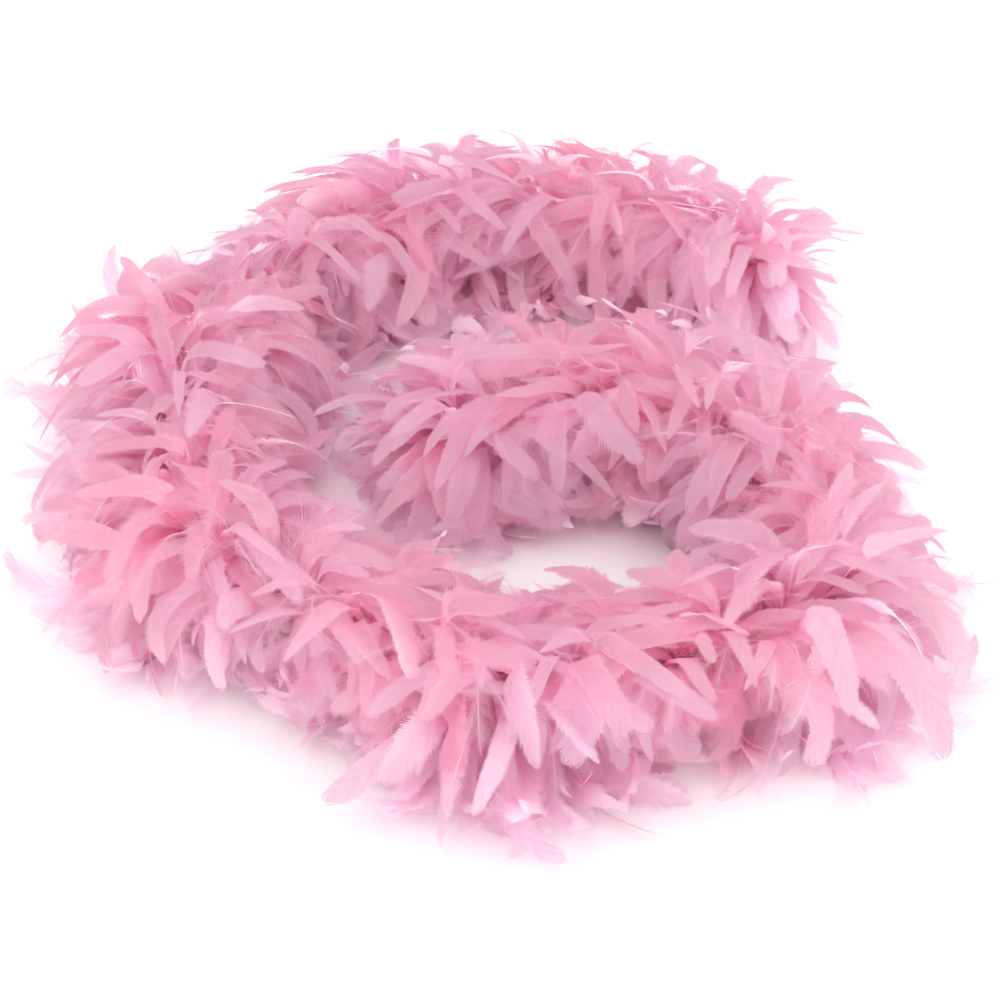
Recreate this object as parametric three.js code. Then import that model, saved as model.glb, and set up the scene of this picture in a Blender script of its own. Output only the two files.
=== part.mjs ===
// Feather boa: a chandelle feather scarf lying in a loose spiral on a flat surface.
// Units are millimetres and +Z is up. The surface it lies on is z = 0.

import * as THREE from 'three';

// ---------- Driving dimensions ----------

const CORD_RADIUS = 1.5;          // twisted two-ply core cord
const CORD_SIDES = 8;
const CORD_HEIGHT = 50;           // height of the core cord above the surface
const GAP = 0.3;                  // clearance between pieces that touch in life

const BAND_RADIUS = 4;            // quill butts sewn round the cord
const HUB_BORE_RADIUS = 5.1;      // each tuft's root ring, clear of the band in the tight turn
const HUB_RADIUS = 6.6;
const HUB_LENGTH = 6;
const HUB_SIDES = 8;

const TUFT_COUNT = 39;            // tufts along the cord, without the two end tufts
const FIRST_TUFT = 30;            // distance of the first tuft from the outer end
const TUFT_MARGIN = 24;           // distance of the last tuft from the inner end

const REACH_OUTER = 104;          // feather reach on the outside of the spiral
const REACH_INNER = 84;           // feather reach on the inside of the spiral
const REACH_UP = 62;              // feather reach above the cord
const TURN_SHARE = 0.62;          // largest reach towards the centre of a tight turn
const LEAN = 46;                  // how far the feather tips lean along the cord
const BLADE_THICKNESS = 1.2;
const BLADE_WIDTH = 27;
const BLADE_SPREAD = 0.33;        // largest half angle of a fan seen along the cord, radians
const LEAN_POWER = 1.4;           // a fan leaves the cord squarely, then leans over
const LYING_SETBACK = 4;          // the lying feathers stop this much short of the others
const STANDING_LIMIT = -0.1;      // sine of the lowest angle of a standing fan
const LYING_LIMIT = -0.8;         // sine of the lowest angle of a lying fan

// Rows of a fan from the cord to its tip, as shares of its reach, width and lean.
const STANDING_ROWS = [
  { reach: 0.36, width: 0.85 },
  { reach: 0.74, width: 1 },
  { reach: 1, width: 0.16 },
];
const LYING_ROWS = [
  { reach: 0.5, width: 0.8, lean: 0.35 },
  { reach: 0.8, width: 0.9, lean: 0.6 },
  { reach: 1, width: 0.12, lean: 0.8 },
];

const WHIP_RADIUS = 3;            // thread whipping at each end of the cord
const WHIP_LENGTH = 6;
const WHIP_SIDES = 16;
const KNOT_RADIUS = 4;            // knot at each end of the cord
const KNOT_SIDES = 12;
const KNOT_RINGS = 8;
const END_TUFT_PLACE = 12;        // distance of the end tufts from the cord's ends
const END_LEAN = 71;              // how far the end tufts splay past their roots

// The core cord's route seen from above, from the outer end to the inner end.
const ROUTE = [
  [230, 193], [174, 230], [116, 255], [54, 268], [-10, 266], [-72, 246], [-126, 210],
  [-170, 164], [-203, 108], [-220, 45], [-224, -23], [-216, -85], [-188, -139],
  [-141, -181], [-91, -216], [-37, -250], [22, -270], [83, -266], [144, -248],
  [195, -224], [226, -176], [222, -112], [195, -46], [149, -11], [92, -1], [29, -9],
  [-34, -24],
];

// The cord is one length in life. It is cut here where the model's joints bend it.
const OUTER_TIP_JOINT = 3.5;      // joint places, in tuft spacings from the first tuft
const OUTER_SECTION_JOINT = 8.5;
const INNER_TIP_JOINT = 34.5;

// ---------- Materials ----------

function softMaterial(colour, roughness) {
  return new THREE.MeshStandardMaterial({ color: colour, roughness: roughness, metalness: 0 });
}

function featherMaterial(index) {
  const shades = ['#f0a6c6', '#eb9dbf', '#f3b2cf', '#e893b8'];
  return softMaterial(shades[index % shades.length], 0.75);
}

function cordMaterial() {
  return softMaterial('#e59ab9', 0.9);
}

function bandMaterial() {
  return softMaterial('#d9779f', 0.85);
}

function threadMaterial() {
  return softMaterial('#dd86ab', 0.8);
}

// ---------- The cord's own coordinates ----------

const ROUTE_STEPS = 1200;         // fineness of the measure along the route
const TURN_STEP = 12;             // a turn is measured this far before and after a place
const STRAIGHT = 1e-4;            // a turn smaller than this counts as straight

const routePoints = ROUTE.map(([x, y]) => new THREE.Vector3(x, y, CORD_HEIGHT));
const route = new THREE.CatmullRomCurve3(routePoints, false, 'catmullrom', 0.5);
route.arcLengthDivisions = ROUTE_STEPS;
const cordLength = route.getLength();
const tuftSpacing = (cordLength - FIRST_TUFT - TUFT_MARGIN) / (TUFT_COUNT - 1);

function tuftPlace(index) {
  return FIRST_TUFT + index * tuftSpacing;
}

// Direction of the cord at a distance along it.
function tangentAt(along) {
  const share = THREE.MathUtils.clamp(along / cordLength, 0, 1);
  return route.getTangentAt(share);
}

// Point at a distance along the cord, side millimetres to its left and up above it.
// Past either end the coordinates run straight on.
function pointAt(along, side, up) {
  const inside = THREE.MathUtils.clamp(along, 0, cordLength);
  const tangent = tangentAt(inside);
  const point = route.getPointAt(inside / cordLength);
  point.addScaledVector(tangent, along - inside);
  point.x -= tangent.y * side;
  point.y += tangent.x * side;
  point.z += up;
  return point;
}

// Radius of the turn at a distance along the cord. Positive turns to the left.
function turnRadiusAt(along) {
  const before = tangentAt(along - TURN_STEP);
  const after = tangentAt(along + TURN_STEP);
  const turn = before.x * after.y - before.y * after.x;
  const safeTurn = Math.abs(turn) < STRAIGHT ? STRAIGHT : turn;
  return (2 * TURN_STEP) / safeTurn;
}

// ---------- Core cord and quill band ----------

function namedMesh(name, geometry, material) {
  const mesh = new THREE.Mesh(geometry, material);
  mesh.name = name;
  return mesh;
}

function polygonPath(Kind, radius, sides) {
  const outline = new Kind();
  for (let corner = 0; corner < sides; corner += 1) {
    const angle = (2 * Math.PI * corner) / sides;
    const x = radius * Math.cos(angle);
    const y = radius * Math.sin(angle);
    if (corner === 0) outline.moveTo(x, y);
    else outline.lineTo(x, y);
  }
  outline.closePath();
  return outline;
}

// A stretch of the route as a curve of its own.
class RouteStretch extends THREE.Curve {
  constructor(start, end) {
    super();
    this.start = start;
    this.end = end;
  }

  getPoint(share) {
    return pointAt(THREE.MathUtils.lerp(this.start, this.end, share), 0, 0);
  }
}

function stretchGeometry(section, start, end) {
  const steps = Math.max(3, Math.round((end - start) / (tuftSpacing / 2)));
  return new THREE.ExtrudeGeometry(section, {
    steps: steps,
    extrudePath: new RouteStretch(start, end),
  });
}

const cuts = [
  0,
  tuftPlace(OUTER_TIP_JOINT),
  tuftPlace(OUTER_SECTION_JOINT),
  tuftPlace(INNER_TIP_JOINT),
  cordLength,
];
const sectionNames = ['outer_tip', 'outer_section', 'main_coil', 'inner_tip'];

// Runs make(name, start, end) on each stretch between cuts, with the gap at each cut.
function forEachSection(firstStart, lastEnd, make) {
  return sectionNames.map((name, index) => {
    const start = index === 0 ? firstStart : cuts[index] + GAP / 2;
    const end = index === sectionNames.length - 1 ? lastEnd : cuts[index + 1] - GAP / 2;
    return make(name, start, end);
  });
}

function coreCord() {
  const section = polygonPath(THREE.Shape, CORD_RADIUS, CORD_SIDES);
  return forEachSection(0, cordLength, (name, start, end) => namedMesh(
    `core_cord_${name}`,
    stretchGeometry(section, start, end),
    cordMaterial(),
  ));
}

function quillBand() {
  const section = polygonPath(THREE.Shape, BAND_RADIUS, CORD_SIDES);
  section.holes.push(polygonPath(THREE.Path, CORD_RADIUS + GAP, CORD_SIDES));
  const bandStart = WHIP_LENGTH + 2 * GAP;
  return forEachSection(bandStart, cordLength - bandStart, (name, start, end) => namedMesh(
    `quill_band_${name}`,
    stretchGeometry(section, start, end),
    bandMaterial(),
  ));
}

// ---------- Feather tufts ----------

// A closed mesh that is put together from four-cornered faces.
class FaceMesh {
  constructor() {
    this.positions = [];
    this.triangles = [];
  }

  corner(point) {
    this.positions.push(point.x, point.y, point.z);
    return this.positions.length / 3 - 1;
  }

  face(a, b, c, d) {
    this.triangles.push(a, b, c, a, c, d);
  }

  // Joins rings of four corners one after another and closes the last one.
  limb(root, rings) {
    let previous = root;
    rings.forEach((ring) => {
      const next = ring.map((point) => this.corner(point));
      for (let side = 0; side < 4; side += 1) {
        const after = (side + 1) % 4;
        this.face(previous[side], previous[after], next[after], next[side]);
      }
      previous = next;
    });
    this.face(...previous);
  }

  geometry() {
    const geometry = new THREE.BufferGeometry();
    geometry.setAttribute('position', new THREE.Float32BufferAttribute(this.positions, 3));
    geometry.setIndex(this.triangles);
    geometry.computeVertexNormals();
    return geometry;
  }
}

// Feather reach at an angle round the cord, where 0 is to the left and 90 degrees is up.
function reachAt(along, angle) {
  const turn = turnRadiusAt(along);
  const left = turn > 0 ? Math.min(REACH_INNER, TURN_SHARE * turn) : REACH_OUTER;
  const right = turn < 0 ? Math.min(REACH_INNER, -TURN_SHARE * turn) : REACH_OUTER;
  const sideways = Math.cos(angle) > 0 ? left : right;
  const x = Math.cos(angle) / sideways;
  const y = Math.sin(angle) / REACH_UP;
  return 1 / Math.hypot(x, y);
}

// Rows of a fan of feathers that stands out from the cord and leans along it.
function standingRings(along, angle, lean) {
  const reach = reachAt(along, angle);
  return STANDING_ROWS.map((row) => {
    const radius = THREE.MathUtils.lerp(HUB_RADIUS, reach, row.reach);
    const turn = Math.min((BLADE_WIDTH * row.width) / 2 / radius, BLADE_SPREAD);
    const corner = (side, across) => pointAt(
      along + lean * row.reach ** LEAN_POWER + (across * BLADE_THICKNESS) / 2,
      radius * Math.cos(angle + side * turn),
      radius * Math.sin(angle + side * turn),
    );
    return [corner(-1, -1), corner(1, -1), corner(1, 1), corner(-1, 1)];
  });
}

// Rows of a fan of feathers that droops from the cord and lies flat on the surface.
function lyingRings(along, angle, lean) {
  const direction = Math.sign(Math.cos(angle));
  const reach = reachAt(along, direction > 0 ? 0 : Math.PI) - LYING_SETBACK;
  return LYING_ROWS.map((row) => {
    const corner = (across, top) => pointAt(
      along + lean * row.lean + (across * BLADE_WIDTH * row.width) / 2,
      reach * row.reach * direction,
      -CORD_HEIGHT + (top > 0 ? BLADE_THICKNESS : 0),
    );
    return [
      corner(-1, -direction), corner(-1, direction), corner(1, direction), corner(1, -direction),
    ];
  });
}

// A tuft is a short root ring round the band, where the quills are gathered, with a fan of
// feathers growing out of each of its upper sides and lying ones out of two lower sides.
function tuftGeometry(along, firstAngle, lean, lies) {
  const mesh = new FaceMesh();
  const step = (2 * Math.PI) / HUB_SIDES;
  const ringCorners = (radius, end) => Array.from({ length: HUB_SIDES }, (unused, side) => {
    const angle = firstAngle + (side - 0.5) * step;
    return mesh.corner(pointAt(
      along + (end * HUB_LENGTH) / 2,
      radius * Math.cos(angle),
      radius * Math.sin(angle),
    ));
  });
  const outerLow = ringCorners(HUB_RADIUS, -1);
  const outerHigh = ringCorners(HUB_RADIUS, 1);
  const boreLow = ringCorners(HUB_BORE_RADIUS, -1);
  const boreHigh = ringCorners(HUB_BORE_RADIUS, 1);
  for (let side = 0; side < HUB_SIDES; side += 1) {
    const next = (side + 1) % HUB_SIDES;
    const angle = firstAngle + side * step;
    const root = [outerLow[side], outerLow[next], outerHigh[next], outerHigh[side]];
    mesh.face(boreLow[side], boreHigh[side], boreHigh[next], boreLow[next]);
    mesh.face(outerLow[side], boreLow[side], boreLow[next], outerLow[next]);
    mesh.face(outerHigh[side], outerHigh[next], boreHigh[next], boreHigh[side]);
    if (Math.sin(angle) > STANDING_LIMIT) mesh.limb(root, standingRings(along, angle, lean));
    else if (lies && Math.sin(angle) > LYING_LIMIT) mesh.limb(root, lyingRings(along, angle, lean));
    else mesh.face(...root);
  }
  return mesh.geometry();
}

function featherTufts() {
  return Array.from({ length: TUFT_COUNT }, (unused, index) => {
    const number = String(index + 1).padStart(2, '0');
    const firstAngle = index % 2 === 0 ? 0 : Math.PI / HUB_SIDES;
    return namedMesh(
      `feather_tuft_${number}`,
      tuftGeometry(tuftPlace(index), firstAngle, LEAN, true),
      featherMaterial(index),
    );
  });
}

// ---------- Ends ----------

// A short ring round the cord, closed by its own profile.
function whipping(name, along) {
  const profile = [
    new THREE.Vector2(CORD_RADIUS + GAP, -WHIP_LENGTH / 2),
    new THREE.Vector2(WHIP_RADIUS, -WHIP_LENGTH / 2),
    new THREE.Vector2(WHIP_RADIUS, WHIP_LENGTH / 2),
    new THREE.Vector2(CORD_RADIUS + GAP, WHIP_LENGTH / 2),
    new THREE.Vector2(CORD_RADIUS + GAP, -WHIP_LENGTH / 2),
  ];
  const mesh = namedMesh(name, new THREE.LatheGeometry(profile, WHIP_SIDES), threadMaterial());
  mesh.position.copy(pointAt(along, 0, 0));
  mesh.quaternion.setFromUnitVectors(new THREE.Vector3(0, 1, 0), tangentAt(along));
  return mesh;
}

function endKnot(name, along) {
  const geometry = new THREE.SphereGeometry(KNOT_RADIUS, KNOT_SIDES, KNOT_RINGS);
  const mesh = namedMesh(name, geometry, cordMaterial());
  mesh.position.copy(pointAt(along, 0, 0));
  return mesh;
}

// The last feathers splay past the end of the cord.
function endTuft(name, along, direction, shade) {
  const geometry = tuftGeometry(along, 0, direction * END_LEAN, false);
  return namedMesh(name, geometry, featherMaterial(shade));
}

function ends() {
  const whipPlace = GAP + WHIP_LENGTH / 2;
  const knotPlace = KNOT_RADIUS + GAP;
  return [
    whipping('end_whipping_outer', whipPlace),
    whipping('end_whipping_inner', cordLength - whipPlace),
    endKnot('end_knot_outer', -knotPlace),
    endKnot('end_knot_inner', cordLength + knotPlace),
    endTuft('end_tuft_outer', END_TUFT_PLACE, -1, 1),
    endTuft('end_tuft_inner', cordLength - END_TUFT_PLACE, 1, 2),
  ];
}

// ---------- The whole boa ----------

const group = new THREE.Group();
group.name = 'feather_boa';
group.add(...coreCord(), ...quillBand(), ...featherTufts(), ...ends());

export default group;
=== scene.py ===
# Feather boa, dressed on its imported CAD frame. Units are metres and +Z is up.
# The cord's route repeats the one in the CAD model, and every feather grows from it.

import math

import bpy
import numpy as np
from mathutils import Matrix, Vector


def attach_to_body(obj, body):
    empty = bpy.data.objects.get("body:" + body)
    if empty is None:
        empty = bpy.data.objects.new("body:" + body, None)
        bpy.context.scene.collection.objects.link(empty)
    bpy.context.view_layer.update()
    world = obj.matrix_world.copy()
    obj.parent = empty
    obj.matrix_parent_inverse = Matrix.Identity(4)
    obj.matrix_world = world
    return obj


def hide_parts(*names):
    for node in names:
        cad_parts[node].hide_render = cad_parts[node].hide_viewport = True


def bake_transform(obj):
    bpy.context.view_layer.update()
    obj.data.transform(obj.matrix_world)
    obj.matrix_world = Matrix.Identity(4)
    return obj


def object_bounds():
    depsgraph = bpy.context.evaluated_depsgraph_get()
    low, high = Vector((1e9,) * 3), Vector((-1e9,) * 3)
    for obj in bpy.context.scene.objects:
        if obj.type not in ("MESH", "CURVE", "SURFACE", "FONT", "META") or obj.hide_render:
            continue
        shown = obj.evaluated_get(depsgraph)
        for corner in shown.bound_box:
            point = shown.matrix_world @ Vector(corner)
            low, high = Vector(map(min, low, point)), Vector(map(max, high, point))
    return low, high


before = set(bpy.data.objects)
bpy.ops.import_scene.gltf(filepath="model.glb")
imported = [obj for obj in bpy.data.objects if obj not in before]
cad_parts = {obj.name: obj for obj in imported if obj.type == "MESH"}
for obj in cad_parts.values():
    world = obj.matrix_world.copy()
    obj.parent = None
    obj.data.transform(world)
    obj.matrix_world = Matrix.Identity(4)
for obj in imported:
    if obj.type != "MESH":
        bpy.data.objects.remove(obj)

cad_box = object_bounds()

# ---------- Driving dimensions, as in the CAD model ----------

MM = 0.001
CORD_RADIUS = 1.5 * MM
CORD_HEIGHT = 50 * MM
BAND_RADIUS = 4 * MM
TUFT_COUNT = 39
FIRST_TUFT = 30 * MM
TUFT_MARGIN = 24 * MM
GAP = 0.3 * MM                    # clearance between pieces that touch in life
WHIP_LENGTH = 6 * MM
KNOT_RADIUS = 4 * MM
END_TUFT_PLACE = 12 * MM          # distance of the end tufts from the cord's ends

# The cord's route seen from above, from the outer end to the inner end, in millimetres.
ROUTE = [
    (230, 193), (174, 230), (116, 255), (54, 268), (-10, 266), (-72, 246), (-126, 210),
    (-170, 164), (-203, 108), (-220, 45), (-224, -23), (-216, -85), (-188, -139),
    (-141, -181), (-91, -216), (-37, -250), (22, -270), (83, -266), (144, -248),
    (195, -224), (226, -176), (222, -112), (195, -46), (149, -11), (92, -1), (29, -9),
    (-34, -24),
]

# ---------- Camera ----------

CAMERA_PLACE = (0.009, -1.154, 0.972)
CAMERA_PITCH = math.radians(41)
CAMERA_LENS_MM = 72
CAMERA_SENSOR_MM = 36


def add_camera():
    """A long lens that looks down at the spiral from the front."""
    data = bpy.data.cameras.new("camera")
    data.sensor_width = CAMERA_SENSOR_MM
    data.lens = CAMERA_LENS_MM
    data.clip_end = 20
    camera = bpy.data.objects.new("camera", data)
    camera.location = CAMERA_PLACE
    camera.rotation_euler = (math.pi / 2 - CAMERA_PITCH, 0, 0)
    bpy.context.scene.collection.objects.link(camera)
    bpy.context.scene.camera = camera


add_camera()

# ---------- The cord's own coordinates ----------

ROUTE_STEPS = 80                  # steps between two points of the route


def catmull_rom(points, steps):
    """A smooth curve through the points, with the ends run straight on."""
    points = np.array(points, float)
    before = 2 * points[0] - points[1]
    after = 2 * points[-1] - points[-2]
    points = np.vstack([before, points, after])
    share = np.linspace(0, 1, steps, endpoint=False)[:, None]
    pieces = []
    for a, b, c, d in zip(points, points[1:], points[2:], points[3:]):
        leave = (c - a) / 2
        arrive = (d - b) / 2
        cubic = 2 * b - 2 * c + leave + arrive
        square = -3 * b + 3 * c - 2 * leave - arrive
        pieces.append(b + leave * share + square * share**2 + cubic * share**3)
    return np.vstack(pieces + [points[-2][None]])


route_points = catmull_rom([(x * MM, y * MM) for x, y in ROUTE], ROUTE_STEPS)
route_steps = np.linalg.norm(np.diff(route_points, axis=0), axis=1)
route_lengths = np.concatenate([[0], np.cumsum(route_steps)])
CORD_LENGTH = float(route_lengths[-1])
TUFT_SPACING = (CORD_LENGTH - FIRST_TUFT - TUFT_MARGIN) / (TUFT_COUNT - 1)


def tuft_place(index):
    """Distance along the cord of the middle of a tuft."""
    return FIRST_TUFT + index * TUFT_SPACING


def centre_at(along):
    """Points on the cord's middle line. Past either end the line runs straight on."""
    along = np.atleast_1d(along).astype(float)
    inside = np.clip(along, 0, CORD_LENGTH)
    flat = [np.interp(inside, route_lengths, route_points[:, axis]) for axis in (0, 1)]
    point = np.stack(flat + [np.full(len(along), CORD_HEIGHT)], axis=1)
    return point + tangent_at(inside) * (along - inside)[:, None]


def tangent_at(along):
    """Unit directions of the cord."""
    along = np.clip(np.atleast_1d(along).astype(float), 2 * MM, CORD_LENGTH - 2 * MM)
    ends = []
    for shift in (-MM, MM):
        place = along + shift
        ends.append([np.interp(place, route_lengths, route_points[:, axis]) for axis in (0, 1)])
    way = np.array(ends[1]) - np.array(ends[0])
    way = way / np.linalg.norm(way, axis=0)
    return np.stack([way[0], way[1], np.zeros(len(along))], axis=1)


def axes_at(along):
    """The cord's direction, its left and up, as three rows for each place along it."""
    ahead = tangent_at(along)
    left = np.stack([-ahead[:, 1], ahead[:, 0], np.zeros(len(ahead))], axis=1)
    up = np.tile([0.0, 0.0, 1.0], (len(ahead), 1))
    return np.stack([ahead, left, up], axis=1)


# ---------- Bends of the limp cord ----------

# Each bend: its place along the cord, the body before it and the body after it.
BENDS = [
    (tuft_place(3.5), "outer_tip", "outer_section"),
    (tuft_place(8.5), "outer_section", "coil"),
    (tuft_place(34.5), "coil", "inner_tip"),
]
BEND_REACH = 85 * MM              # pieces this near to a bend are attached to no body


def body_at(along):
    """The CAD body that a place along the cord belongs to."""
    for place, before, _ in BENDS:
        if along < place:
            return before
    return BENDS[-1][2]


def attach(piece, start, end):
    """The piece that lies along this stretch rides on its body; one near a bend stays in the shared
    frame, on no body.
    """
    for place, before, after in BENDS:
        if start - BEND_REACH < place < end + BEND_REACH:
            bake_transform(piece)
            return
    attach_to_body(piece, body_at((start + end) / 2))


# ---------- Mesh code ----------


def mesh_object(name, vertices, faces, material, smooth=True):
    """A mesh object from arrays of corners and of faces that all have the same number of sides."""
    mesh = bpy.data.meshes.new(name)
    sides = faces.shape[1]
    mesh.vertices.add(len(vertices))
    mesh.vertices.foreach_set("co", np.ascontiguousarray(vertices, np.float32).ravel())
    mesh.loops.add(faces.size)
    mesh.loops.foreach_set("vertex_index", np.ascontiguousarray(faces, np.int32).ravel())
    mesh.polygons.add(len(faces))
    starts = np.arange(0, faces.size, sides, dtype=np.int32)
    mesh.polygons.foreach_set("loop_start", starts)
    mesh.update(calc_edges=True)
    mesh.validate()
    mesh.polygons.foreach_set("use_smooth", np.full(len(mesh.polygons), smooth))
    mesh.materials.append(material)
    piece = bpy.data.objects.new(name, mesh)
    bpy.context.scene.collection.objects.link(piece)
    return piece


def tube_arrays(path, radius, sides):
    """Corners and faces of a capped tube along a path. radius may change along it."""
    path = np.asarray(path, float)
    radius = np.broadcast_to(radius, len(path))
    ahead = np.gradient(path, axis=0)
    ahead /= np.linalg.norm(ahead, axis=1)[:, None]
    first = np.array([0.0, 0.0, 1.0])
    across = []
    for way in ahead:
        first = first - way * (first @ way)
        first = first / np.linalg.norm(first)
        across.append(first)
    across = np.array(across)
    other = np.cross(ahead, across)
    turn = np.linspace(0, 2 * math.pi, sides, endpoint=False)
    ring = (
        across[:, None, :] * np.cos(turn)[None, :, None]
        + other[:, None, :] * np.sin(turn)[None, :, None]
    )
    corners = (path[:, None, :] + ring * radius[:, None, None]).reshape(-1, 3)
    row = np.arange(len(path) - 1)[:, None] * sides
    a = row + np.arange(sides)[None, :]
    b = row + (np.arange(sides)[None, :] + 1) % sides
    quads = np.stack([a, b, b + sides, a + sides], axis=2).reshape(-1, 4)
    triangles = np.vstack([quads[:, [0, 1, 2]], quads[:, [0, 2, 3]]])
    caps = []
    last = (len(path) - 1) * sides
    for corner in range(1, sides - 1):
        caps.append([0, corner + 1, corner])
        caps.append([last, last + corner, last + corner + 1])
    return corners, np.vstack([triangles, np.array(caps)])


def joined(parts):
    """Several (corners, faces) pairs as one."""
    corners = []
    faces = []
    count = 0
    for part_corners, part_faces in parts:
        corners.append(part_corners)
        faces.append(part_faces + count)
        count += len(part_corners)
    return np.vstack(corners), np.vstack(faces)


# ---------- Materials ----------


def node_material(name):
    """A new material, with its node tree, shader node and output node."""
    material = bpy.data.materials.new(name)
    material.use_nodes = True
    tree = material.node_tree
    tree.nodes.clear()
    output = tree.nodes.new("ShaderNodeOutputMaterial")
    shader = tree.nodes.new("ShaderNodeBsdfPrincipled")
    return material, tree, shader, output


def add_node(tree, kind, **settings):
    """A new node with these properties."""
    node = tree.nodes.new(kind)
    for key, value in settings.items():
        setattr(node, key, value)
    return node


def srgb(red, green, blue):
    """A colour given as 0 to 255 in sRGB, as the linear colour that shaders take."""
    def linear(value):
        value = value / 255
        if value <= 0.04045:
            return value / 12.92
        return ((value + 0.055) / 1.055) ** 2.4
    return (linear(red), linear(green), linear(blue), 1)


def ramp_between(tree, factor, stops):
    """A colour ramp node driven by factor, with stops as (place, colour)."""
    ramp = add_node(tree, "ShaderNodeValToRGB")
    elements = ramp.color_ramp.elements
    while len(elements) < len(stops):
        elements.new(0.5)
    for element, (place, colour) in zip(elements, stops):
        element.position = place
        element.color = colour
    tree.links.new(factor, ramp.inputs[0])
    return ramp.outputs["Color"]


def mixed_colour(tree, blend, share, first, second):
    """first and second mixed. share, first and second are sockets or plain values."""
    mix = add_node(tree, "ShaderNodeMix", data_type="RGBA", blend_type=blend)
    for socket, value in zip((mix.inputs[0], mix.inputs[6], mix.inputs[7]), (share, first, second)):
        if isinstance(value, bpy.types.NodeSocket):
            tree.links.new(value, socket)
        else:
            socket.default_value = value
    return mix.outputs[2]


def feather_material():
    """Dyed pink feather vane with fine slanting barbs, deep pink at the root and pale at the tip. The
    deep pink at the root, deep inside the boa, is painted shade; the paler outer edges are a painted
    highlight.
    """
    material, tree, shader, output = node_material("dyed_feather_painted_shade_highlight")
    vane = add_node(tree, "ShaderNodeAttribute", attribute_name="vane")
    parts = add_node(tree, "ShaderNodeSeparateColor")
    tree.links.new(vane.outputs["Color"], parts.inputs[0])
    along, across, tint = parts.outputs[0], parts.outputs[1], parts.outputs[2]

    # Painted shade: deep saturated pink at the root, which lies deep among the feathers, paling
    # towards the tip on the outside.
    colour = ramp_between(tree, along, [
        (0.0, srgb(255, 166, 206)),
        (0.3, srgb(255, 216, 233)),
        (0.7, srgb(254, 237, 246)),
        (1.0, srgb(249, 235, 243)),
    ])
    hues = ramp_between(tree, tint, [
        (0.0, srgb(255, 211, 228)),
        (0.35, srgb(255, 227, 238)),
        (0.7, srgb(250, 237, 251)),
        (1.0, srgb(254, 240, 243)),
    ])
    colour = mixed_colour(tree, "MIX", 0.5, colour, hues)

    mottle = add_node(tree, "ShaderNodeTexNoise")
    mottle.inputs["Scale"].default_value = 0.16
    mottle.inputs["Detail"].default_value = 3
    uv = add_node(tree, "ShaderNodeUVMap", uv_map="barbs")
    tree.links.new(uv.outputs[0], mottle.inputs["Vector"])
    dye = ramp_between(tree, mottle.outputs["Fac"], [
        (0.38, (1, 0.9, 0.94, 1)),
        (0.62, (1, 1, 1, 1)),
    ])
    colour = mixed_colour(tree, "MULTIPLY", 0.8, colour, dye)

    barbs = add_node(tree, "ShaderNodeTexWave", wave_type="BANDS", bands_direction="Y")
    barbs.inputs["Scale"].default_value = 0.6
    barbs.inputs["Distortion"].default_value = 2.2
    barbs.inputs["Detail"].default_value = 2
    tree.links.new(uv.outputs[0], barbs.inputs["Vector"])
    streaks = ramp_between(tree, barbs.outputs["Fac"], [
        (0.1, (1, 0.94, 0.96, 1)),
        (0.75, (1, 1, 1, 1)),
    ])
    colour = mixed_colour(tree, "MULTIPLY", 0.6, colour, streaks)

    # Painted highlight: the outer edges of the vane are mixed towards a pale lavender pink.
    edge = ramp_between(tree, across, [(0.6, (0, 0, 0, 1)), (1.0, (0.5, 0.5, 0.5, 1))])
    colour = mixed_colour(tree, "MIX", edge, colour, srgb(252, 232, 242))
    quill = ramp_between(tree, across, [(0.0, (0.25, 0.25, 0.25, 1)), (0.09, (0, 0, 0, 1))])
    colour = mixed_colour(tree, "MIX", quill, colour, srgb(248, 206, 220))

    bump = add_node(tree, "ShaderNodeBump")
    bump.inputs["Strength"].default_value = 0.25
    bump.inputs["Distance"].default_value = 0.3 * MM
    tree.links.new(barbs.outputs["Fac"], bump.inputs["Height"])

    shader.inputs["Roughness"].default_value = 0.62
    shader.inputs["Specular IOR Level"].default_value = 0.25
    shader.inputs["Sheen Weight"].default_value = 0.25
    shader.inputs["Sheen Roughness"].default_value = 0.5
    tree.links.new(colour, shader.inputs["Base Color"])
    tree.links.new(bump.outputs[0], shader.inputs["Normal"])

    through = add_node(tree, "ShaderNodeBsdfTranslucent")
    tree.links.new(colour, through.inputs["Color"])
    both = add_node(tree, "ShaderNodeMixShader")
    both.inputs[0].default_value = 0.8
    tree.links.new(shader.outputs[0], both.inputs[1])
    tree.links.new(through.outputs[0], both.inputs[2])
    tree.links.new(both.outputs[0], output.inputs[0])
    return material


def yarn_material(name, dark, light, scale):
    """Dyed cotton: fibres as fine stretched noise, with a fuzzy sheen."""
    material, tree, shader, output = node_material(name)
    place = add_node(tree, "ShaderNodeNewGeometry")
    fibres = add_node(tree, "ShaderNodeTexNoise")
    fibres.inputs["Scale"].default_value = scale
    fibres.inputs["Detail"].default_value = 6
    fibres.inputs["Roughness"].default_value = 0.7
    tree.links.new(place.outputs["Position"], fibres.inputs["Vector"])
    colour = ramp_between(tree, fibres.outputs["Fac"], [(0.3, dark), (0.7, light)])
    bump = add_node(tree, "ShaderNodeBump")
    bump.inputs["Strength"].default_value = 0.5
    bump.inputs["Distance"].default_value = 0.2 * MM
    tree.links.new(fibres.outputs["Fac"], bump.inputs["Height"])
    shader.inputs["Roughness"].default_value = 0.9
    shader.inputs["Sheen Weight"].default_value = 0.4
    tree.links.new(colour, shader.inputs["Base Color"])
    tree.links.new(bump.outputs[0], shader.inputs["Normal"])
    tree.links.new(shader.outputs[0], output.inputs[0])
    return material


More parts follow.
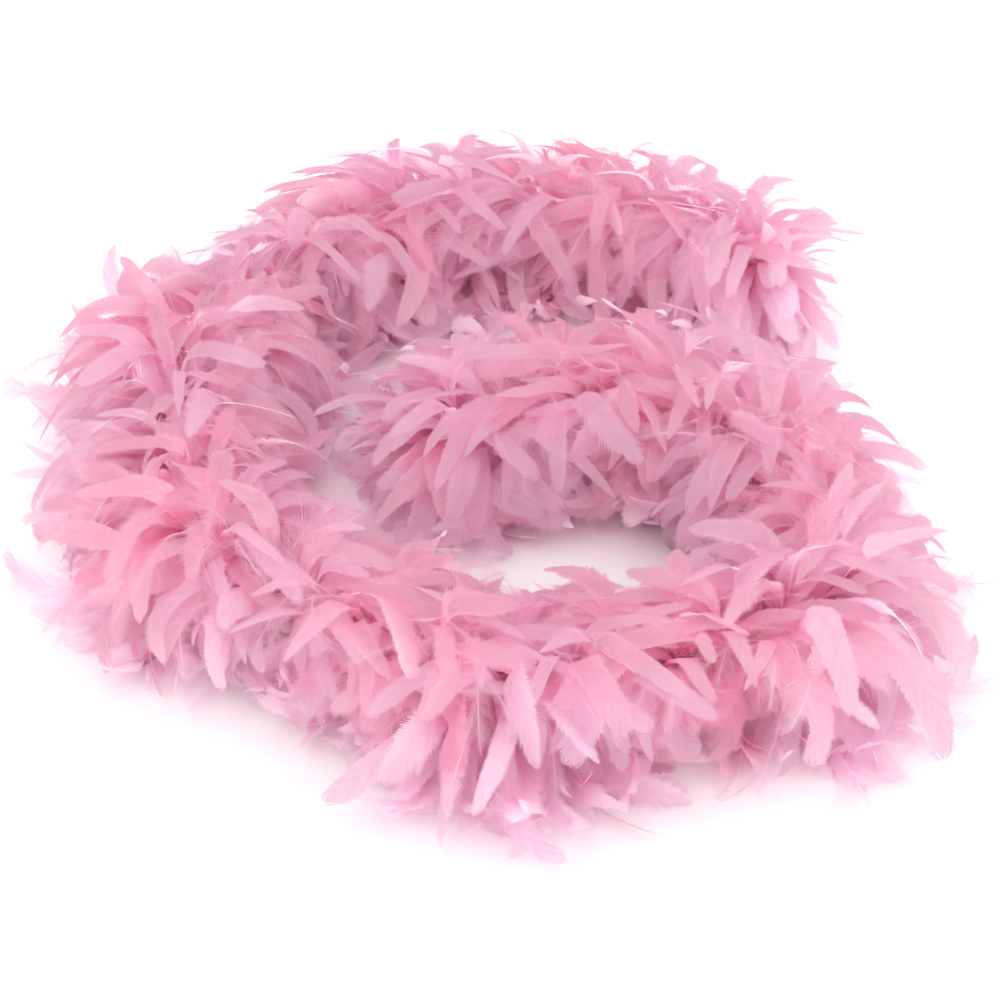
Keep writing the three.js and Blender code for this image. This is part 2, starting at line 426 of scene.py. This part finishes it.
cord_material = yarn_material("cord_cotton", srgb(205, 110, 150), srgb(238, 170, 196), 1400)
thread_material = yarn_material("sewing_thread", srgb(214, 112, 154), srgb(240, 164, 192), 2600)
quill_material = yarn_material("dyed_quill", srgb(226, 120, 160), srgb(246, 190, 208), 700)
plume_material = feather_material()

# ---------- Core cord, quill band and stitching ----------

PLY_RADIUS = CORD_RADIUS * 0.52
PLY_PITCH = 7 * MM
QUILL_SPACING = 1.1 * MM
QUILL_LIFT = np.array([2.1, 2.5, 2.9, 3.3]) * MM       # height above the middle line
QUILL_RADIUS = np.array([0.35, 0.6, 0.65, 0.5]) * MM
SHORTEST_QUILL = 3 * MM
STITCHES = ((6.5 * MM, 0), (-9.5 * MM, 1))             # pitch and phase of each thread
STITCH_RADIUS = 0.22 * MM
STITCH_DEPTH = 0.1 * MM                                # how far the threads sink into the quills
CORE_SEED = 11                                         # random seed of the quills

# The cord is laid in three lengths, each with one bend, that meet end to end.
STRETCHES = [
    ("outer_end", 0.0, tuft_place(6), ["outer_tip"]),
    ("back_turn", tuft_place(6), tuft_place(21), ["outer_section"]),
    ("coil_and_inner_end", tuft_place(21), CORD_LENGTH, ["main_coil", "inner_tip"]),
]


def helix_path(start, end, radius, pitch, phase, per_turn):
    """A helix round the cord's middle line."""
    count = max(int((end - start) / pitch * per_turn), 8)
    along = np.linspace(start, end, count)
    turn = phase + 2 * math.pi * along / pitch
    axes = axes_at(along)
    out = axes[:, 1] * np.cos(turn)[:, None] + axes[:, 2] * np.sin(turn)[:, None]
    return centre_at(along) + out * np.broadcast_to(radius, count)[:, None]


def add_cord_stretch(name, start, end, cad_names):
    """Two plies twisted together, following the route."""
    plies = []
    for phase in (0, math.pi):
        path = helix_path(start, end, CORD_RADIUS - PLY_RADIUS, PLY_PITCH, phase, per_turn=10)
        plies.append(tube_arrays(path, PLY_RADIUS, sides=8))
    piece = mesh_object(f"core_cord_{name}", *joined(plies), cord_material)
    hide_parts(*[f"core_cord_{cad}" for cad in cad_names])
    attach(piece, start, end)
    return piece


def add_quill_band(name, start, end, cad_names, rng):
    """The butts of the quills, laid along the cord and overlapping."""
    quills = []
    for along in np.arange(start, end, QUILL_SPACING):
        turn = rng.uniform(0, 2 * math.pi)
        length = rng.uniform(9, 13) * MM
        places = np.clip(along + np.linspace(0, length, 4), start, end)
        axes = axes_at(places)
        out = axes[:, 1] * math.cos(turn) + axes[:, 2] * math.sin(turn)
        if places[-1] - places[0] > SHORTEST_QUILL:
            path = centre_at(places) + out * QUILL_LIFT[:, None]
            quills.append(tube_arrays(path, QUILL_RADIUS, sides=5))
    piece = mesh_object(f"quill_band_{name}", *joined(quills), quill_material)
    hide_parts(*[f"quill_band_{cad}" for cad in cad_names])
    attach(piece, start, end)


def add_stitching(name, start, end):
    """The thread that lashes the quills to the cord, wound both ways."""
    threads = []
    for pitch, phase in STITCHES:
        path = helix_path(start, end, BAND_RADIUS - STITCH_DEPTH, pitch, phase, per_turn=9)
        threads.append(tube_arrays(path, STITCH_RADIUS, sides=5))
    piece = mesh_object(f"stitch_thread_{name}", *joined(threads), thread_material)
    attach(piece, start, end)


# ---------- Knots and whippings at the two ends ----------

KNOT_STRAND = 1.1 * MM            # radius of the cord where the knot draws it tight
KNOT_POINTS = 72
KNOT_TAIL = (1.5, 4.2)            # where the knot's tail starts and ends, in millimetres
WHIP_THREAD = 0.36 * MM           # radius of the whipping's thread
WHIP_RADIUS = CORD_RADIUS + 0.45 * MM
WHIP_PITCH = 0.75 * MM


def add_knot(name, place, ahead):
    """An overhand knot in the end of the cord, drawn tight, as a small threefold loop."""
    turn = np.linspace(0, 2 * math.pi, KNOT_POINTS, endpoint=False)
    wave = 2 + np.cos(3 * turn)
    across = np.stack([wave * np.cos(2 * turn), wave * np.sin(2 * turn), 1.5 * np.sin(3 * turn)])
    centre = centre_at(place)[0]
    axes = axes_at([place])[0]
    size = (KNOT_RADIUS - KNOT_STRAND) / 3
    path = centre + across.T @ np.stack([axes[1], axes[2], axes[0]]) * size
    tail = centre + axes[0] * ahead * np.linspace(*KNOT_TAIL, 5)[:, None] * MM
    parts = [tube_arrays(line, KNOT_STRAND, sides=8) for line in (path, tail)]
    piece = mesh_object(f"knot_{name}", *joined(parts), cord_material)
    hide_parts(f"end_knot_{name}")
    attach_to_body(piece, body_at(place))
    return piece


def add_whipping(name, start, end):
    """Thread wound side by side round the cord's end."""
    path = helix_path(start, end, WHIP_RADIUS, WHIP_PITCH, phase=0, per_turn=12)
    tube = tube_arrays(path, WHIP_THREAD, sides=6)
    piece = mesh_object(f"whipping_{name}", *tube, thread_material)
    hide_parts(f"end_whipping_{name}")
    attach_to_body(piece, body_at((start + end) / 2))
    return piece


def add_core():
    """Everything that the feathers hide."""
    rng = np.random.default_rng(CORE_SEED)
    cords = [add_cord_stretch(*stretch) for stretch in STRETCHES]
    knots = [
        add_knot("outer", -KNOT_RADIUS - GAP, -1),
        add_knot("inner", CORD_LENGTH + KNOT_RADIUS + GAP, 1),
    ]
    whippings = [
        add_whipping("outer", GAP, GAP + WHIP_LENGTH),
        add_whipping("inner", CORD_LENGTH - GAP - WHIP_LENGTH, CORD_LENGTH - GAP),
    ]
    band_start = WHIP_LENGTH + 2 * GAP
    for index, (name, start, end, cad_names) in enumerate(STRETCHES):
        is_first = index == 0
        is_last = index == len(STRETCHES) - 1
        first = band_start if is_first else start
        last = CORD_LENGTH - band_start if is_last else end
        add_quill_band(name, first, last, cad_names, rng)
        add_stitching(name, first, last)


add_core()

# ---------- Feathers ----------

ROWS = 12                         # pieces that a feather's middle line is made of
BARBS = 92                        # barbs on each side of a feather
TOP_ENVELOPE = 63 * MM            # height above the cord at which feathers lie over
SIDE_ENVELOPE = 104 * MM          # the same to either side
PRESS = 0.8                       # how fast feathers turn to lie along their neighbours
PRESS_SIDEWAYS = 0.4              # share of that at the sides, where less lies on them
PRESS_START = 0.4                 # share of the envelope at which it starts
PRESS_RISE = 0.5                  # share of the envelope over which it grows to the full
PRESS_MOST = 1.3                  # and what it may grow to past that
FLOOR_CLEARANCE = 0.8 * MM
BOX_MARGIN = 28 * MM              # how far feathers may stand past the CAD model's sides
HIGHEST = 123 * MM                # how high feathers may stand above the surface
SOFT_EDGE = 12 * MM               # feathers are pressed together this near to those limits
LOCK_BARBS = 11                   # neighbouring barbs that cling together
LOCK_FRAY = 1.8                   # how much a lock's reach varies, in shares of the fray
BARB_FRAY = 0.4                   # the same for each barb in it
LOCK_SWEEP = 0.16                 # how much a lock's slant varies
BARB_SWEEP = 0.03                 # the same for each barb in it
BARB_REACH = (0.35, 1.35)         # least and greatest reach of a barb
BARB_SLANT = 0.7                  # how far barbs point forwards at the root, and
BARB_SLANT_GROWTH = 0.5           # how much further they do at the tip
RIPPLES = 1.4                     # waves along a feather's edge
RIPPLE_DEPTH = 0.12
RIPPLE_SHIFT = 3                  # how differently they start from feather to feather
WIDEST = 0.45                     # where a feather is widest, as a share of its length
TIP_WIDTH = 0.03                  # width of its very tip, as a share of its greatest
RISE_POWER = 0.7                  # how quickly it widens from the root: lower is quicker
FALL_POWER = 0.75                 # how suddenly it ends at the tip: lower is more sudden
ROOT_DEPTH = 0.6                  # where a feather starts, as a share of the band's radius
CURL_OUTWARDS = 0.3               # how much feathers prefer to curl away from the cord
FLOOR_TURN = 0.5                  # how strongly they turn sideways where they meet the surface
FACING_UP = 0.8                   # how much their good side turns upwards
FACING_SPREAD = 0.4               # how much that varies
TWIST_START = 0.3                 # the share of a feather's length about which it twists
LONGEST_STRETCH = 1.3             # how much longer than usual a far-reaching feather may be
FLOW_LENGTHS = (8.5, 23)          # lengths in millimetres of the two waves that make locks
PATCH_LENGTH = 31 * MM            # the same for patches of one shade
MAP_ACROSS = 0.05                 # units of the barb map to a millimetre across a feather
MAP_ALONG = 0.9                   # the same along it
MAP_SLANT = 0.8

PLUMES_PER_TUFT = 82
DOWN_PER_TUFT = 16
WISPS_PER_TUFT = 48

TUFT_SEED = 100                   # random seed of the first tuft. Each next one takes the next

# The feathers that splay past each end: their place, their lean, their share of full length and
# their random seed.
END_TUFTS = [
    ("outer", END_TUFT_PLACE, -0.95, 0.8, 205),
    ("inner", CORD_LENGTH - END_TUFT_PLACE, 0.95, 0.72, 206),
]
END_TUFT_HALF = 5 * MM            # half the stretch of cord that they are sewn to

# How feathers lie at places along the cord: the place, their reach on the outside and on the
# inside of the spiral as shares of the envelope, and their lean towards the inner end.
LAY = [
    (0, 0.35, 1.2, -0.1), (60, 0.5, 1.1, 0.1), (140, 1.1, 1.15, 0.4), (250, 1.3, 1.25, 0.6),
    (330, 1.2, 1.2, 0.6), (390, 1.1, 1.15, 0.6), (440, 0.5, 1.1, 0.5), (480, 0.7, 1.1, 0.4),
    (530, 1.5, 1.15, 0.3), (600, 1.5, 1.2, 0.2), (650, 1.05, 1.15, 0.2), (725, 1.0, 1.0, 0.2),
    (765, 1.6, 0.9, 0.2), (815, 0.75, 0.85, 0.2), (860, 0.7, 0.85, 0.3), (940, 0.72, 0.85, 0.3),
    (1020, 1.35, 0.8, 0.2), (1080, 0.5, 0.8, -0.2), (1165, 0.4, 0.85, 0.0), (1205, 1.9, 0.9, 0.1),
    (1240, 1.3, 0.9, 0.1), (1290, 0.85, 0.95, 0.3), (1360, 0.55, 1.0, 0.2), (1420, 1.5, 0.95, 0.0),
    (1490, 1.4, 0.9, 0.4), (1560, 1.35, 0.95, 0.3), (1650, 1.3, 1.0, 0.3),
]


def unit(vectors):
    """Vectors scaled to length 1."""
    return vectors / np.maximum(np.linalg.norm(vectors, axis=-1, keepdims=True), 1e-9)


def pressed_way(point, way, room):
    """Near the outside of the boa a feather turns until it lies along the ones next to it."""
    envelope = np.array([SIDE_ENVELOPE, TOP_ENVELOPE])
    scaled = point[:, 1:] / envelope
    depth = np.linalg.norm(scaled, axis=1) / room
    steepest = scaled / envelope
    outward = unit(np.concatenate([np.zeros((len(point), 1)), steepest], axis=1))
    leaving = np.maximum(np.sum(way * outward, axis=1), 0)
    topmost = PRESS_SIDEWAYS + (1 - PRESS_SIDEWAYS) * np.abs(outward[:, 2])
    share = np.clip((depth - PRESS_START) / PRESS_RISE, 0, PRESS_MOST) * PRESS * topmost * leaving
    return unit(way - outward * share[:, None])


def floored(point, way, floor):
    """A feather that comes down to the surface turns outwards along it."""
    low = point[:, 2] < floor
    point[:, 2] = np.where(low, floor, point[:, 2])
    sideways = np.where(point[:, 1] >= 0, FLOOR_TURN, -FLOOR_TURN)
    way[:, 1] = np.where(low, way[:, 1] + sideways, way[:, 1])
    way[:, 2] = np.where(low, np.maximum(way[:, 2], 0), way[:, 2])
    return point, way


def grown_paths(plan, rng):
    """Middle lines of the feathers in the cord's own axes: ahead, left and up.

    Each one leaves the cord outwards and bends under its weight and its neighbours."""
    count = len(plan["along"])
    zero = np.zeros(count)
    out = np.stack([zero, np.cos(plan["angle"]), np.sin(plan["angle"])], axis=1)
    round_way = np.stack([zero, -np.sin(plan["angle"]), np.cos(plan["angle"])], axis=1)
    ahead = np.array([1.0, 0.0, 0.0])
    way = out + ahead * np.tan(plan["lean"])[:, None] + round_way * np.tan(plan["sway"])[:, None]
    way = unit(way)
    curl_way = unit(rng.normal(size=(count, 3)) + out * CURL_OUTWARDS)
    point = out * (BAND_RADIUS * ROOT_DEPTH)
    points = [point]
    step = plan["length"] / ROWS
    floor = -CORD_HEIGHT + FLOOR_CLEARANCE + plan["layer"]
    for row in range(ROWS):
        share = (row + 1) / ROWS
        weight = np.array([0.0, 0.0, -1.0]) * (plan["droop"] * share / ROWS)[:, None]
        way = unit(way + weight + curl_way * (plan["curl"] / ROWS)[:, None])
        way = pressed_way(point, way, plan["room"])
        point = point + way * step[:, None]
        point, way = floored(point, way, floor)
        points.append(point.copy())
    return np.stack(points, axis=1), out


def vane_width(share, tip_power):
    """Half width of a feather, as a share of its greatest, from root to tip."""
    rise = np.clip(share / WIDEST, 0, 1) ** RISE_POWER
    fall = np.clip((share - WIDEST) / (1 - WIDEST), 0, 1)
    return rise * (1 - fall ** tip_power) ** FALL_POWER * (1 - TIP_WIDTH) + TIP_WIDTH


def vane_axes(path, out, plan, rng):
    """Along, across and facing directions at every row of every feather."""
    count = len(path)
    way = unit(np.gradient(path, axis=1))
    facing = out + np.array([0.0, 0.0, FACING_UP])
    facing = facing + rng.normal(scale=FACING_SPREAD, size=(count, 3))
    facing = np.repeat(facing[:, None], ROWS + 1, axis=1)
    facing = unit(facing - way * np.sum(facing * way, axis=2, keepdims=True))
    across = np.cross(way, facing)
    share = np.linspace(0, 1, ROWS + 1)[None, :]
    turn = (plan["twist"][:, None] * (share - TWIST_START))[:, :, None]
    turned_across = across * np.cos(turn) + facing * np.sin(turn)
    turned_facing = facing * np.cos(turn) - across * np.sin(turn)
    return way, turned_across, turned_facing


def sampled(rows, places):
    """Values given at every row, read at places between 0 and 1 along each feather."""
    where = np.clip(places, 0, 1) * ROWS
    low = np.minimum(where.astype(int), ROWS - 1)
    part = where - low
    if rows.ndim == 3:
        low = low[:, :, None]
        part = part[:, :, None]
    first = np.take_along_axis(rows, low, axis=1)
    second = np.take_along_axis(rows, low + 1, axis=1)
    return first * (1 - part) + second * part


def smoothed_noise(count, length, rng):
    """Noise along each feather in which neighbours are alike."""
    noise = rng.normal(size=(count, length + LOCK_BARBS - 1))
    total = sum(noise[:, shift:shift + length] for shift in range(LOCK_BARBS))
    return total / math.sqrt(LOCK_BARBS)


class Vanes:
    """The vanes of many feathers, grown row by row and barb by barb."""

    def __init__(self, plan, rng):
        self.plan = plan
        self.rng = rng
        self.count = len(plan["along"])
        self.path, out = grown_paths(plan, rng)
        self.way, self.across, self.facing = vane_axes(self.path, out, plan, rng)

    def points(self, side, places, reach, sweep_more=0.0):
        """Points that stand off the middle line by a share, reach, of the feather's width."""
        width = self.plan["width"][:, None] * vane_width(places, self.plan["tip_power"][:, None])
        out_by = width * reach
        wave = places * RIPPLES + self.plan["tint"][:, None] * RIPPLE_SHIFT + side / 4
        ripple = np.sin(2 * math.pi * wave)
        lift = out_by * reach * (self.plan["cup"][:, None] + RIPPLE_DEPTH * ripple)
        sweep = out_by * (BARB_SLANT + BARB_SLANT_GROWTH * places + sweep_more)
        return (
            sampled(self.path, places)
            + sampled(self.across, places) * (side * out_by)[:, :, None]
            + sampled(self.way, places) * sweep[:, :, None]
            - sampled(self.facing, places) * lift[:, :, None]
        )

    def barbs(self, side):
        """Three corners of every barb on one side: two at the sheet's edge and its tip."""
        plan, rng = self.plan, self.rng
        middle = np.repeat(((np.arange(BARBS) + 0.5) / BARBS)[None, :], self.count, axis=0)
        half = plan["barb_width"][:, None] / BARBS / 2
        sheet = plan["sheet"][:, None]
        locks = smoothed_noise(self.count, BARBS, rng)
        loose = BARB_FRAY * rng.normal(size=locks.shape)
        reach = 1 + plan["fray"][:, None] * (LOCK_FRAY * locks + loose)
        sweep = LOCK_SWEEP * locks + BARB_SWEEP * rng.normal(size=locks.shape)
        return (
            self.points(side, middle - half, sheet),
            self.points(side, middle + half, sheet),
            self.points(side, middle, np.clip(reach, *BARB_REACH), sweep),
            middle,
        )

    def arrays(self):
        """Corners, triangles and each corner's share along and across its feather."""
        rows = np.repeat(np.linspace(0, 1, ROWS + 1)[None, :], self.count, axis=0)
        sheet = np.repeat(self.plan["sheet"][:, None], ROWS + 1, axis=1)
        corners, along, spread = [self.path], [rows], [np.zeros(rows.shape)]
        for side in (-1, 1):
            corners.append(self.points(side, rows, sheet))
            along.append(rows)
            spread.append(sheet)
            *barbs, middle = self.barbs(side)
            corners += barbs
            along += [middle] * 3
            edge = np.repeat(self.plan["sheet"][:, None], BARBS, axis=1)
            spread += [edge, edge, np.ones(middle.shape)]
        corners = np.concatenate(corners, axis=1)
        faces = feather_faces()[None] + (np.arange(self.count) * corners.shape[1])[:, None, None]
        return (
            corners, faces.reshape(-1, 3),
            np.concatenate(along, axis=1), np.concatenate(spread, axis=1),
        )


def feather_faces():
    """Triangles of one feather, in the order that Vanes lists its corners."""
    row = np.arange(ROWS)
    barb = np.arange(BARBS)
    faces = []
    for side in (0, 1):
        sheet = ROWS + 1 + side * (ROWS + 1 + 3 * BARBS)
        first = sheet + ROWS + 1 + barb
        half = [
            np.stack([row, row + 1, sheet + row + 1], axis=1),
            np.stack([row, sheet + row + 1, sheet + row], axis=1),
            np.stack([first, first + BARBS, first + 2 * BARBS], axis=1),
        ]
        half = np.vstack(half)
        faces.append(half if side == 1 else half[:, ::-1])
    return np.vstack(faces)


def held_below(values, limit, softness):
    """Values pressed together as they near the limit, so that none passes it."""
    start = limit - softness
    past = np.maximum(values - start, 0)
    return np.minimum(values, start) + softness * np.tanh(past / softness)


def place_on_cord(corners, along):
    """Corners from the cord's own axes at each feather's root into the shared frame."""
    axes = axes_at(along)
    placed = np.einsum("fpi,fij->fpj", corners, axes)
    placed = placed + centre_at(along)[:, None, :]
    floor = FLOOR_CLEARANCE / 2
    for axis in (0, 1):
        low, high = cad_box[0][axis] - BOX_MARGIN, cad_box[1][axis] + BOX_MARGIN
        placed[:, :, axis] = held_below(placed[:, :, axis], high, SOFT_EDGE)
        placed[:, :, axis] = -held_below(-placed[:, :, axis], -low, SOFT_EDGE)
    placed[:, :, 2] = np.maximum(held_below(placed[:, :, 2], HIGHEST, SOFT_EDGE), floor)
    return placed


def add_feathers(name, plan, rng, cad_names, start, end):
    """One piece that holds all the feathers of a plan."""
    corners, faces, along, spread = Vanes(plan, rng).arrays()
    placed = place_on_cord(corners, plan["along"]).reshape(-1, 3)
    piece = mesh_object(name, placed, faces, plume_material)
    tint = np.repeat(plan["tint"][:, None], along.shape[1], axis=1)
    # The first channel, along times pale, reads the ramp from the painted root shade to the pale tip.
    colour = np.stack([along * plan["pale"][:, None], spread, tint, np.ones_like(tint)], axis=2)
    vane = piece.data.attributes.new("vane", "FLOAT_COLOR", "POINT")
    vane.data.foreach_set("color", colour.astype(np.float32).ravel())
    add_barb_map(piece.data, plan, along, spread)
    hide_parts(*cad_names)
    attach(piece, start, end)


def add_barb_map(mesh, plan, along, spread):
    """UV map whose second axis counts barbs, slanting forwards from the middle line."""
    reach = spread * plan["width"][:, None]
    length = along * plan["length"][:, None]
    slanted = length - reach * MAP_SLANT
    flat = np.stack([reach / MM * MAP_ACROSS, slanted / MM * MAP_ALONG], axis=2)
    flat = flat.reshape(-1, 2).astype(np.float32)
    corners = np.empty(len(mesh.loops), np.int32)
    mesh.loops.foreach_get("vertex_index", corners)
    layer = mesh.uv_layers.new(name="barbs")
    layer.data.foreach_set("uv", flat[corners].ravel())


def spread_angles(count, rng):
    """Even but irregular angles round the cord."""
    golden = math.pi * (3 - math.sqrt(5))
    return np.arange(count) * golden + rng.uniform(0, 2 * math.pi) + rng.normal(scale=0.3, size=count)


def flow(along, angle, phase):
    """A smooth field from -1 to 1 over the boa's surface: feathers lie in locks that share it."""
    ahead = along / MM
    first = np.sin(ahead / FLOW_LENGTHS[0] + 2 * np.sin(angle + phase) + phase)
    second = np.cos(2 * angle + ahead / FLOW_LENGTHS[1] + 3 * phase)
    return first * second


def reach_at(along, angle):
    """Reach at a place and an angle round the cord, as a share of the envelope."""
    places, outside, inside, _ = np.array(LAY).T
    outer = np.interp(along / MM, places, outside)
    inner = np.interp(along / MM, places, inside)
    outer_share = 0.5 - 0.5 * np.cos(angle)
    sideways = np.abs(np.cos(angle))
    return 1 + (outer * outer_share + inner * (1 - outer_share) - 1) * sideways


def lean_at(along):
    """Lean of the feathers at a place along the cord, in radians."""
    places, lean = np.array(LAY)[:, [0, 3]].T
    return np.interp(along / MM, places, lean)


def plume_plan(along, lean, rng):
    """Sizes and attitudes of full feathers rooted at these places."""
    count = len(along)
    angle = spread_angles(count, rng)
    reach = reach_at(along, angle)
    size = rng.uniform(0.5, 1.0, count)
    stretch = np.minimum(reach, LONGEST_STRETCH)
    downhill = -np.cos(angle) / (np.abs(np.cos(angle)) + 0.35)
    patch = 0.5 + 0.5 * np.sin(along / PATCH_LENGTH + 1.3 * np.sin(2 * angle))
    return {
        "along": along,
        "angle": angle,
        "lean": lean + 0.35 * flow(along, angle, 0.0) + rng.normal(scale=0.3, size=count),
        "sway": 0.5 * downhill + 0.4 * flow(along, angle, 2.0) + rng.normal(scale=0.3, size=count),
        "length": rng.uniform(98, 132, count) * MM * stretch * size**0.55,
        "width": rng.uniform(8, 14, count) * MM * size * np.maximum(stretch, 1) ** 0.6,
        "droop": rng.uniform(0.8, 2.2, count),
        "curl": rng.uniform(0.3, 1.4, count),
        "layer": rng.uniform(0, 9, count) * MM,
        "room": rng.normal(1, 0.09, count) * reach,
        "twist": rng.normal(scale=0.4, size=count),
        "tip_power": rng.uniform(1.5, 3.8, count),
        "fray": rng.uniform(0.015, 0.07, count),
        "sheet": rng.uniform(0.4, 0.78, count),
        "barb_width": rng.uniform(1.1, 1.8, count),
        "cup": rng.normal(0.1, 0.15, count),
        "tint": np.clip(0.55 * patch + 0.45 * rng.random(count), 0, 1),
        "pale": rng.uniform(0.8, 1, count),
    }


def down_plan(along, rng):
    """Short fluffy feathers near the cord, with loose barbs."""
    plan = plume_plan(along, lean_at(along), rng)
    count = len(along)
    plan["length"] = rng.uniform(44, 78, count) * MM
    plan["width"] = rng.uniform(11, 19, count) * MM
    plan["fray"] = rng.uniform(0.2, 0.32, count)
    plan["sheet"] = rng.uniform(0.06, 0.12, count)
    plan["barb_width"] = rng.uniform(0.5, 0.9, count)
    # Painted shade: the down stays near the deep root pink, standing in for the shade deep between
    # the feathers.
    plan["pale"] = rng.uniform(0.2, 0.55, count)
    return plan


def wisp_plan(along, rng):
    """Full-length feathers with nothing but loose barbs, which soften the surface."""
    plan = plume_plan(along, lean_at(along), rng)
    count = len(along)
    plan["width"] = rng.uniform(11, 18, count) * MM
    plan["room"] *= 1.05
    plan["length"] *= 0.92
    plan["fray"] = rng.uniform(0.15, 0.3, count)
    plan["sheet"] = np.full(count, 0.04)
    plan["barb_width"] = rng.uniform(0.35, 0.6, count)
    return plan


def merged_plans(*plans):
    """Several plans as one."""
    return {key: np.concatenate([plan[key] for plan in plans]) for key in plans[0]}


def add_all_feathers():
    """A piece for each tuft of the CAD model, and one for each end."""
    for index in range(TUFT_COUNT):
        rng = np.random.default_rng(TUFT_SEED + index)
        start = tuft_place(index) - TUFT_SPACING / 2
        end = start + TUFT_SPACING
        roots = rng.uniform(start, end, PLUMES_PER_TUFT)
        plumes = plume_plan(roots, lean_at(roots), rng)
        down = down_plan(rng.uniform(start, end, DOWN_PER_TUFT), rng)
        wisps = wisp_plan(rng.uniform(start, end, WISPS_PER_TUFT), rng)
        number = f"{index + 1:02d}"
        add_feathers(
            f"plumes_{number}", merged_plans(plumes, down, wisps), rng,
            [f"feather_tuft_{number}"], start, end,
        )
    for name, place, lean, length, seed in END_TUFTS:
        rng = np.random.default_rng(seed)
        roots = rng.uniform(place - END_TUFT_HALF, place + END_TUFT_HALF, PLUMES_PER_TUFT)
        plan = plume_plan(roots, lean, rng)
        plan["length"] *= length
        add_feathers(f"plumes_end_{name}", plan, rng, [f"end_tuft_{name}"], place, place)


add_all_feathers()

# ---------- Stage ----------

FLOOR_HALF = 6                    # half the floor's side


def add_floor():
    """A plain pale floor that reaches past every view."""
    corners = np.array([(-1, -1, 0), (1, -1, 0), (1, 1, 0), (-1, 1, 0)], float) * FLOOR_HALF
    material, tree, shader, output = node_material("pale_floor")
    shader.inputs["Base Color"].default_value = (0.9, 0.9, 0.9, 1)
    shader.inputs["Roughness"].default_value = 0.9
    shader.inputs["Specular IOR Level"].default_value = 0.1
    tree.links.new(shader.outputs[0], output.inputs[0])
    mesh_object("floor", corners, np.array([[0, 1, 2, 3]]), material, smooth=False)


def add_light(name, place, size, power):
    """A large soft lamp that looks at the middle of the boa."""
    data = bpy.data.lights.new(name, "AREA")
    data.shape = "DISK"
    data.size = size
    data.energy = power
    lamp = bpy.data.objects.new(name, data)
    lamp.location = place
    direction = -np.array(place) / np.linalg.norm(place)
    pitch = math.acos(-direction[2])
    heading = math.atan2(direction[0], -direction[1])
    lamp.rotation_euler = (pitch, 0, heading + math.pi)
    bpy.context.scene.collection.objects.link(lamp)


def add_world():
    """Even white light from all round."""
    world = bpy.data.worlds.new("studio")
    world.use_nodes = True
    background = world.node_tree.nodes["Background"]
    background.inputs["Color"].default_value = (1, 1, 1, 1)
    background.inputs["Strength"].default_value = 1.32
    bpy.context.scene.world = world


def add_stage():
    """The floor, the lights and a plain view transform."""
    add_floor()
    add_light("key_light", place=(-0.9, -0.8, 1.7), size=1.3, power=3)
    add_light("fill_light", place=(1.3, -0.5, 1.4), size=1.6, power=2)
    add_world()
    bpy.context.scene.view_settings.view_transform = "Standard"


add_stage()
